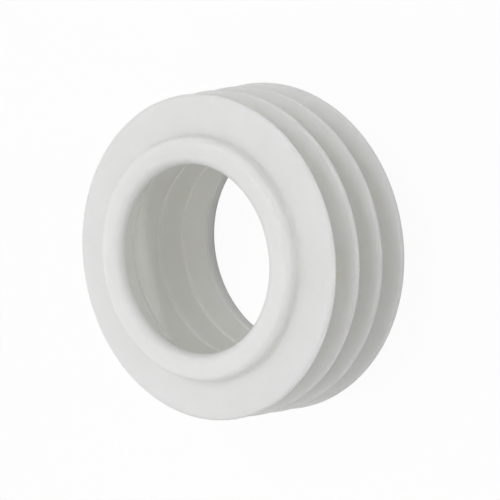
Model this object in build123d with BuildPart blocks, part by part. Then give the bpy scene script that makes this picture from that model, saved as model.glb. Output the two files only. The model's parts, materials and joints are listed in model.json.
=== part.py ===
"""Internal flush cone: one soft rubber moulding that seals a flush pipe into the inlet horn of a pan.

The cone stands on its pipe end with its collar up, on the axis of the bore. The flush pipe is pushed
in from below, past a rounded entry and a row of grip ribs, until it meets the lip under the collar.
Thin flexible fins round the sleeve fold back against the inside of the horn and seal it.
"""

import os

from build123d import *

# Flush pipe that the socket grips
pipe_diameter = 41.6
grip = 0.4

# Socket: sawtooth ribs with a short land at each crest, and a rounded edge where the pipe enters
rib_height = 0.5
rib_root_round = 0.3
rib_land = 0.8
rib_pitch = 7.23
lowest_rib = 3.0
entry_round = 1.2
stop_corner_round = 0.6

# Sleeve
sleeve_wall = 2.1
tail_length = 9.95
tail_edge_round = 0.5

# Fins: flat in front, tapered behind, with round tips, each a little wider than the one in front of it
fin_count = 4
fin_pitch = 6.4
front_fin_radius = 30.0
fin_radius_step = 0.5
fin_tip_thickness = 1.1
fin_root_thickness = 2.2
fin_root_round = 0.8

# Collar and the lip inside it, which stops the pipe
collar_wall = 1.45
collar_height = 2.85
collar_edge_round = 1.2
collar_root_round = 0.7
lip_reach = 3.0
lip_thickness = 2.3
mouth_round = 1.8

# Radii and heights that follow, measured from the pipe end
crest_radius = pipe_diameter / 2 - grip
socket_radius = crest_radius + rib_height
sleeve_radius = socket_radius + sleeve_wall
collar_radius = socket_radius + collar_wall
mouth_radius = crest_radius - lip_reach
tip_round = fin_tip_thickness / 2
front_fin_height = tail_length + (fin_count - 1) * fin_pitch
front_face = front_fin_height + tip_round
overall_length = front_face + collar_height
stop_face = overall_length - lip_thickness
rib_count = int((stop_face - lowest_rib) // rib_pitch) + 1


# Half-section of the moulding, drawn to the right of its axis
with BuildPart() as flush_cone:
    with BuildSketch(Plane.XZ) as half_section:
        # Sleeve, with the collar standing on its front end
        Rectangle(sleeve_radius, front_face, align=Align.MIN)
        Rectangle(collar_radius, overall_length, align=Align.MIN)

        # Corners to be rounded, each with its radius, height and rounding
        corners = [
            (collar_radius, overall_length, collar_edge_round),
            (mouth_radius, overall_length, mouth_round),
            (collar_radius, front_face, collar_root_round),
            (socket_radius, stop_face, stop_corner_round),
            (sleeve_radius, 0, tail_edge_round),
            (crest_radius, 0, entry_round),
        ]

        # Fins, from the front one back to the widest
        for number in range(fin_count):
            tip_centre = front_fin_radius + number * fin_radius_step - tip_round
            middle = front_fin_height - number * fin_pitch
            front_root = (sleeve_radius, middle + tip_round)
            back_root = (sleeve_radius, middle + tip_round - fin_root_thickness)
            front_edge = (tip_centre, middle + tip_round)
            back_edge = (tip_centre, middle - tip_round)
            with BuildLine():
                Line(front_root, front_edge)
                ThreePointArc(front_edge, (tip_centre + tip_round, middle), back_edge)
                Line(back_edge, back_root)
                Line(back_root, front_root)
            make_face()
            corners.append((*back_root, fin_root_round))
            if number > 0:
                corners.append((*front_root, fin_root_round))

        # Bore: ribs that are steep in front and ramped behind, stop face and mouth
        with BuildLine():
            bore_points = [(0, 0), (crest_radius, 0)]
            for number in range(rib_count):
                step = lowest_rib + number * rib_pitch
                if number > 0:
                    bore_points.append((crest_radius, step - rib_land))
                bore_points.append((crest_radius, step))
                bore_points.append((socket_radius, step))
                corners.append((socket_radius, step, rib_root_round))
            bore_points.append((socket_radius, stop_face))
            bore_points.append((mouth_radius, stop_face))
            bore_points.append((mouth_radius, overall_length))
            bore_points.append((0, overall_length))
            Polyline(*bore_points, close=True)
        make_face(mode=Mode.SUBTRACT)

        for radius, height, rounding in corners:
            corner = half_section.vertices().sort_by_distance((radius, height))[0]
            fillet(corner, rounding)
    revolve(axis=Axis.Z)

flush_cone.part.label = "flush_cone"

os.makedirs("parts", exist_ok=True)
export_step(flush_cone.part, "parts/flush_cone.step")
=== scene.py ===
# %% [markdown]
# # A rubber flush cone
#
# A flush cone is one soft white rubber moulding. The flush pipe from the cistern is pushed into its
# ribbed socket, and the cone is pushed, collar first, into the inlet horn of the pan, where its thin fins
# fold back and seal. This lesson loads the measured solid as a fixed frame, models the same form with
# soft edges, gives it the look of pale moulded rubber, and lights it as a plain studio shot.

# %% Load the measured solid
import json
from math import cos, hypot, pi, radians, sin

import bmesh
import bpy
from mathutils import Matrix, Vector


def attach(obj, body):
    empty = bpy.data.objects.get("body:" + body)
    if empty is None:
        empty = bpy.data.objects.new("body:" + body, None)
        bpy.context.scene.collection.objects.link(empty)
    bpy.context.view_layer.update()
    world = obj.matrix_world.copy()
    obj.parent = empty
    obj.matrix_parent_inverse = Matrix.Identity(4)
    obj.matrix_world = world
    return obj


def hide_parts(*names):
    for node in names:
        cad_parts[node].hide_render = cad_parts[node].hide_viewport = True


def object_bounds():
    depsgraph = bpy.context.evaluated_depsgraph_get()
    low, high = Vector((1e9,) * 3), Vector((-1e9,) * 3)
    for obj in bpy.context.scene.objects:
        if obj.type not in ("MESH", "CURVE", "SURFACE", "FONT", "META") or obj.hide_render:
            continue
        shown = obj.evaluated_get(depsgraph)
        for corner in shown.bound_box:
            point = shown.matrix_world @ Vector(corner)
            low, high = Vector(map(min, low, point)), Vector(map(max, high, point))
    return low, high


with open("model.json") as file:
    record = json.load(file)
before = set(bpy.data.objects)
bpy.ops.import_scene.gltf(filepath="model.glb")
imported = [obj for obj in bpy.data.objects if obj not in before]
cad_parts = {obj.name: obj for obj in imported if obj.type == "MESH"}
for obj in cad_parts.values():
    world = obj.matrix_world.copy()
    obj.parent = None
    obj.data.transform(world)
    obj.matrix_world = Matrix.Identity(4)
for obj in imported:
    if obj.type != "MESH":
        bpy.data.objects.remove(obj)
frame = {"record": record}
cad_low, cad_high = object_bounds()
mm = 0.001
mounts = {mount["name"]: mount for mount in frame["record"]["mounts"]}
print("solid box in mm:", [round(v / mm, 2) for v in (*cad_low, *cad_high)])

# %% [markdown]
# ## Sizes of the moulding
#
# The cone is the same all the way round its axis, so its whole shape is one half-section. Some of its
# sizes can be read from the frame: the overall height, the widest fin, the rib crests that grip the pipe
# and the face that stops it. The others are the moulding's own, and they are named here in millimetres.

# %% Radii and heights
overall_height = cad_high.z
widest_radius = cad_high.x
crest_radius = mounts["pipe_socket"]["dims"]["r_mm"] * mm
stop_height = mounts["pipe_stop"]["pos_m"][2]
last_fin_height = mounts["horn_seal"]["pos_m"][2]

rib_height = 0.5 * mm
lip_reach = 3.0 * mm
sleeve_wall = 2.1 * mm
collar_wall = 1.45 * mm
socket_radius = crest_radius + rib_height
mouth_radius = crest_radius - lip_reach
sleeve_radius = socket_radius + sleeve_wall
collar_radius = socket_radius + collar_wall

fin_count = 4
fin_pitch = 6.4 * mm
fin_step = 0.5 * mm
tip_thickness = 1.1 * mm
root_thickness = 2.2 * mm
front_face = last_fin_height + (fin_count - 1) * fin_pitch + tip_thickness / 2

rib_count = 4
rib_pitch = 7.23 * mm
rib_land = 0.8 * mm
lowest_rib = 3.0 * mm
collar_height = overall_height - front_face
print("front face at", round(front_face / mm, 2), "mm, collar", round(collar_height / mm, 2), "mm high")

# %% [markdown]
# ## The half-section
#
# A drawing of the section would show its corners and how far each is rounded by the mould. So that is
# what is listed here: a radius, a height and a rounding for each corner, in the order of a walk round the
# section. It goes out along the pipe end, up the fins, over the collar, in at the mouth and back down the
# ribs. Each rib has a steep side towards the mouth and a long ramp behind, so the pipe slides in easily
# and is hard to pull out.

# %% Corners of the half-section
no_round = 0.0
soft_edge = 0.15 * mm
entry_round = 1.2 * mm
tail_round = 0.5 * mm
root_round = 0.8 * mm
# Just under half the tip, so that the roundings of its two edges do not meet
tip_round = 0.49 * tip_thickness
collar_root_round = 0.7 * mm
collar_edge_round = 1.2 * mm
mouth_round = 1.8 * mm
stop_round = 0.6 * mm
lip_edge_round = 0.4 * mm
rib_root_round = 0.3 * mm

corners = [(crest_radius, 0.0, entry_round), (sleeve_radius, 0.0, tail_round)]
for number in range(fin_count):
    tip_radius = widest_radius - number * fin_step
    front = last_fin_height + number * fin_pitch + tip_thickness / 2
    corners.append((sleeve_radius, front - root_thickness, root_round))
    corners.append((tip_radius, front - tip_thickness, tip_round))
    corners.append((tip_radius, front, tip_round))
    if number < fin_count - 1:
        corners.append((sleeve_radius, front, root_round))
corners.append((collar_radius, front_face, collar_root_round))
corners.append((collar_radius, overall_height, collar_edge_round))
corners.append((mouth_radius, overall_height, mouth_round))
corners.append((mouth_radius, stop_height, lip_edge_round))
corners.append((socket_radius, stop_height, stop_round))
for number in reversed(range(rib_count)):
    step = lowest_rib + number * rib_pitch
    corners.append((socket_radius, step, rib_root_round))
    corners.append((crest_radius, step, soft_edge))
    if number > 0:
        corners.append((crest_radius, step - rib_land, no_round))
print(len(corners), "corners in the half-section")

# %% [markdown]
# ## Growing the moulding ring by ring
#
# A lathe form can be spun from a drawn outline, or grown ring by ring. Here one ring of points is added as
# a circle, then extruded again and again, each time moved to the next height and scaled to the next
# radius, until it comes back to where it began and is welded shut. Every ring keeps its own edges, so the
# roundings can be bevelled in afterwards by picking a ring by its place.

# %% Extrude round the section
ring_points = 256
weld_reach = 0.002 * mm
bpy.ops.object.select_all(action="DESELECT")
start_radius, start_height = corners[0][:2]
bpy.ops.mesh.primitive_circle_add(vertices=ring_points, radius=start_radius, location=(0, 0, start_height))
cone = bpy.context.object
cone.name = "moulded_cone"
bpy.ops.object.mode_set(mode="EDIT")
bpy.ops.mesh.select_mode(type="EDGE")
bpy.ops.mesh.select_all(action="SELECT")
for here, there in zip(corners, corners[1:] + corners[:1]):
    growth = there[0] / here[0]
    rise = there[1] - here[1]
    bpy.ops.mesh.extrude_edges_move(TRANSFORM_OT_translate={"value": (0, 0, rise)})
    bpy.ops.transform.resize(value=(growth, growth, 1), center_override=(0, 0, 0))
bpy.ops.mesh.select_all(action="SELECT")
bpy.ops.mesh.remove_doubles(threshold=weld_reach)
bpy.ops.mesh.normals_make_consistent(inside=False)
print("rings welded:", len(bmesh.from_edit_mesh(cone.data).verts) // ring_points)

# %% [markdown]
# ## Rounding the corners
#
# Rubber fills a mould whose corners are cut with a round tool, so no edge of the cone is sharp. A bevel
# modifier would round every edge alike. Instead each ring is picked by its radius and height and bevelled
# by its own amount, in steps short enough that no facet shows.

# %% Bevel each ring by its own rounding
near = 0.01 * mm
facet_length = 0.18 * mm


def pick_ring(radius, height):
    """Selects the ring of edges at this radius and height, and nothing else."""
    bpy.ops.mesh.select_all(action="DESELECT")
    mesh = bmesh.from_edit_mesh(cone.data)
    for edge in mesh.edges:
        ends = [(hypot(v.co.x, v.co.y) - radius, v.co.z - height) for v in edge.verts]
        if all(abs(side) < near and abs(up) < near for side, up in ends):
            edge.select_set(True)
    bmesh.update_edit_mesh(cone.data)


for radius, height, rounding in corners:
    if rounding > no_round:
        pick_ring(radius, height)
        facets = max(3, round(pi / 2 * rounding / facet_length))
        bpy.ops.mesh.bevel(offset=rounding, segments=facets, profile=0.5, affect="EDGES")
bpy.ops.mesh.select_all(action="SELECT")
bpy.ops.mesh.normals_make_consistent(inside=False)
bpy.ops.object.mode_set(mode="OBJECT")
print("faces after rounding:", len(cone.data.polygons))

# %% [markdown]
# ## Smooth shading
#
# The roundings should shade as curves and the flats as flats. Each corner is now a run of short facets, and
# smooth shading by angle joins those into a curve. A weighted normal modifier lets the large flat faces set
# the normals at their rims, so that no soft smear runs out onto the front face.

# %% Shade the rubber surface
widest_facet_turn = radians(40)
bpy.ops.object.shade_smooth_by_angle(angle=widest_facet_turn)
bpy.ops.object.modifier_add(type="WEIGHTED_NORMAL")
cone.modifiers[-1].keep_sharp = True
bpy.ops.object.modifier_apply(modifier=cone.modifiers[-1].name)
cone.data.calc_loop_triangles()
print("triangles:", len(cone.data.loop_triangles))

# %% [markdown]
# ## White rubber
#
# Pale moulded rubber is matt, faintly creamy and a little translucent: light that enters a fin comes out
# some millimetres further on, which softens the shadows between the fins. That is subsurface
# scattering, with red travelling furthest. The surface itself is never quite even. Slow clouds in the
# filler shift the colour by a few percent, finer specks vary the gloss, and the blasted face of the mould
# leaves a fine grain. All of it is noise on Object coordinates, in millimetres.

# %% Noise that the rubber uses
rubber = bpy.data.materials.new("white_rubber")
rubber.use_nodes = True
nodes = rubber.node_tree.nodes
links = rubber.node_tree.links
shader = nodes["Principled BSDF"]
place = nodes.new("ShaderNodeTexCoord")


def noise(grain_size, detail):
    """A noise texture whose lumps are about this size, in metres."""
    texture = nodes.new("ShaderNodeTexNoise")
    texture.inputs["Scale"].default_value = 1 / grain_size
    texture.inputs["Detail"].default_value = detail
    texture.inputs["Roughness"].default_value = 0.55
    links.new(place.outputs["Object"], texture.inputs["Vector"])
    return texture


clouds = noise(9 * mm, 3)
specks = noise(1.3 * mm, 2)
mould_grain = noise(0.35 * mm, 2)
print("noise textures:", len([n for n in nodes if n.type == "TEX_NOISE"]))

# %% Colour, gloss and grain
tint = nodes.new("ShaderNodeValToRGB")
tint.color_ramp.elements[0].position = 0.3
tint.color_ramp.elements[0].color = (0.838, 0.836, 0.792, 1)
tint.color_ramp.elements[1].position = 0.7
tint.color_ramp.elements[1].color = (0.866, 0.866, 0.832, 1)
links.new(clouds.outputs["Fac"], tint.inputs["Fac"])
links.new(tint.outputs["Color"], shader.inputs["Base Color"])

gloss = nodes.new("ShaderNodeMapRange")
gloss.inputs["From Min"].default_value = 0.3
gloss.inputs["From Max"].default_value = 0.7
gloss.inputs["To Min"].default_value = 0.52
gloss.inputs["To Max"].default_value = 0.66
links.new(specks.outputs["Fac"], gloss.inputs["Value"])
links.new(gloss.outputs["Result"], shader.inputs["Roughness"])

relief = nodes.new("ShaderNodeMath")
relief.operation = "MULTIPLY_ADD"
relief.inputs[1].default_value = 0.6
links.new(specks.outputs["Fac"], relief.inputs[0])
links.new(mould_grain.outputs["Fac"], relief.inputs[2])
bump = nodes.new("ShaderNodeBump")
bump.inputs["Strength"].default_value = 0.35
bump.inputs["Distance"].default_value = 0.03 * mm
links.new(relief.outputs["Value"], bump.inputs["Height"])
links.new(bump.outputs["Normal"], shader.inputs["Normal"])

# %% Scattering inside the rubber
scatter_depth = 10 * mm
shader.inputs["Specular IOR Level"].default_value = 0.3
shader.inputs["Subsurface Weight"].default_value = 1.0
shader.inputs["Subsurface Radius"].default_value = (1.0, 0.97, 0.88)
shader.inputs["Subsurface Scale"].default_value = scatter_depth
cone.data.materials.append(rubber)
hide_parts("flush_cone")
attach(cone, "root")
print("rubber on", cone.name, "with", len(nodes), "nodes")

# %% [markdown]
# ## The white floor
#
# The cone stands on a sheet of white paper that fills the picture. To the camera the paper should be white
# right to the edges, and yet it should throw back only as much light as paper does. So the camera sees
# mostly a plain white glow of strength 1, mixed with a little of the paper's own shading, which keeps the
# soft shadow. Mirror and glass rays see the same white, and all other rays see the paper.

# %% Lay the paper
white_share = 0.95
paper_width = 4.0
bpy.ops.object.select_all(action="DESELECT")
bpy.ops.mesh.primitive_plane_add(size=paper_width, location=(0, 0, 0))
floor = bpy.context.object
floor.name = "floor"
paper = bpy.data.materials.new("white_paper")
paper.use_nodes = True


def seen_directly(tree):
    """A value that is 1 for camera, glossy and transmission rays, and 0 for all others."""
    path = tree.nodes.new("ShaderNodeLightPath")
    either = tree.nodes.new("ShaderNodeMath")
    either.operation = "MAXIMUM"
    tree.links.new(path.outputs["Is Camera Ray"], either.inputs[0])
    tree.links.new(path.outputs["Is Glossy Ray"], either.inputs[1])
    any_of_them = tree.nodes.new("ShaderNodeMath")
    any_of_them.operation = "MAXIMUM"
    tree.links.new(either.outputs["Value"], any_of_them.inputs[0])
    tree.links.new(path.outputs["Is Transmission Ray"], any_of_them.inputs[1])
    return any_of_them.outputs["Value"]


tree = paper.node_tree
tree.nodes.clear()
output = tree.nodes.new("ShaderNodeOutputMaterial")
mix = tree.nodes.new("ShaderNodeMixShader")
matte = tree.nodes.new("ShaderNodeBsdfDiffuse")
glow = tree.nodes.new("ShaderNodeEmission")
share = tree.nodes.new("ShaderNodeMath")
share.operation = "MULTIPLY"
share.inputs[1].default_value = white_share
matte.inputs["Color"].default_value = (0.9, 0.9, 0.9, 1)
glow.inputs["Strength"].default_value = 1.0
tree.links.new(seen_directly(tree), share.inputs[0])
tree.links.new(share.outputs["Value"], mix.inputs["Fac"])
tree.links.new(matte.outputs["BSDF"], mix.inputs[1])
tree.links.new(glow.outputs["Emission"], mix.inputs[2])
tree.links.new(mix.outputs["Shader"], output.inputs["Surface"])
floor.data.materials.append(paper)
print("paper is", round(100 * white_share), "percent white to the camera")

# %% [markdown]
# ## The camera
#
# The photograph looks obliquely into the mouth, with a long lens, and the cone's axis lies nearly across
# the picture. The camera stays where that view needs it: its lens is as long as the picture asks, it looks
# at a point on the axis from about 39 degrees off it, and it is rolled on its side.

# %% Place the camera
picture_width = 500
focal_pixels = 1600
sensor = 36.0
aim = Vector((0, 0, 14.78 * mm))
distance = 303.9 * mm
from_axis = radians(38.95)
roll = radians(99.72)

camera_data = bpy.data.cameras.new("camera")
camera_data.sensor_width = sensor
camera_data.lens = focal_pixels / picture_width * sensor
camera = bpy.data.objects.new("camera", camera_data)
bpy.context.scene.collection.objects.link(camera)
back = Vector((0, -sin(from_axis), cos(from_axis)))
upright = (-back).to_track_quat("-Z", "Y").to_matrix().to_4x4()
camera.matrix_world = Matrix.Translation(aim + back * distance) @ upright @ Matrix.Rotation(-roll, 4, "Z")
bpy.context.scene.camera = camera
bpy.context.view_layer.update()
print("lens", round(camera_data.lens, 1), "mm, camera at", [round(v / mm) for v in camera.location], "mm")

# %% [markdown]
# ## The light
#
# The cone is lit as a small product is: evenly, from a white tent all round it. Four lamps give that
# light its shape. The key stands high and a little towards the top of the picture, so it reaches down the
# bore to the ribs at the bottom. A larger fill on the left keeps that side from falling off. A small soft
# lamp hangs close over the cone, a little towards the bottom of the picture, and lifts the front face. A
# narrow strip lamp with a grid, low on the right, looks along the fins. Its beam fades towards the floor,
# so each fin is a little darker than the one in front of it.

# %% Hang the lamps
def soft_lamp(name, direction, reach, size, watts):
    """A square lamp that looks at the cone from this direction, with its reach and size in metres."""
    lamp_data = bpy.data.lights.new(name, "AREA")
    lamp_data.size = size
    lamp_data.energy = watts
    lamp = bpy.data.objects.new(name, lamp_data)
    bpy.context.scene.collection.objects.link(lamp)
    way = Vector(direction).normalized()
    lamp.location = way * reach
    lamp.rotation_mode = "QUATERNION"
    lamp.rotation_quaternion = way.to_track_quat("Z", "Y")
    return lamp


key = soft_lamp("key", direction=(0.4, -0.1, 0.92), reach=0.9, size=0.3, watts=1.9)
fill = soft_lamp("fill", direction=(0, 0.75, 0.66), reach=0.9, size=0.6, watts=1.3)
mouth_lamp = soft_lamp("mouth_lamp", direction=(-0.2, 0.05, 1.0), reach=0.167, size=0.1, watts=0.045)

# The grid concentrates the strip's light, so very little power is enough
strip_width = 20 * mm
grid_angle = radians(6)
beam_rise = 20 * mm
strip = soft_lamp("strip", direction=(0, -0.94, 0.3), reach=0.4, size=0.12, watts=0.0019)
strip.data.shape = "RECTANGLE"
strip.data.size_y = strip_width
strip.data.spread = grid_angle
strip.location += strip.rotation_quaternion @ Vector((0, beam_rise, 0))
print("lamps:", key.name, fill.name, mouth_lamp.name, strip.name)

# %% Pitch the tent
tent_light = 0.39
tent = bpy.data.worlds.new("light_tent")
bpy.context.scene.world = tent
tent.use_nodes = True
tree = tent.node_tree
tree.nodes.clear()
output = tree.nodes.new("ShaderNodeOutputWorld")
cloth = tree.nodes.new("ShaderNodeBackground")
cloth.inputs["Color"].default_value = (1, 1, 1, 1)
cloth.inputs["Strength"].default_value = tent_light
white = tree.nodes.new("ShaderNodeBackground")
white.inputs["Color"].default_value = (1, 1, 1, 1)
mix = tree.nodes.new("ShaderNodeMixShader")
tree.links.new(seen_directly(tree), mix.inputs["Fac"])
tree.links.new(cloth.outputs["Background"], mix.inputs[1])
tree.links.new(white.outputs["Background"], mix.inputs[2])
tree.links.new(mix.outputs["Shader"], output.inputs["Surface"])
print("tent light", tent_light)

# %% [markdown]
# ## Finish
#
# The picture is shown with the plain Standard view.

# %% Show the picture in the Standard view
bpy.context.scene.view_settings.view_transform = "Standard"
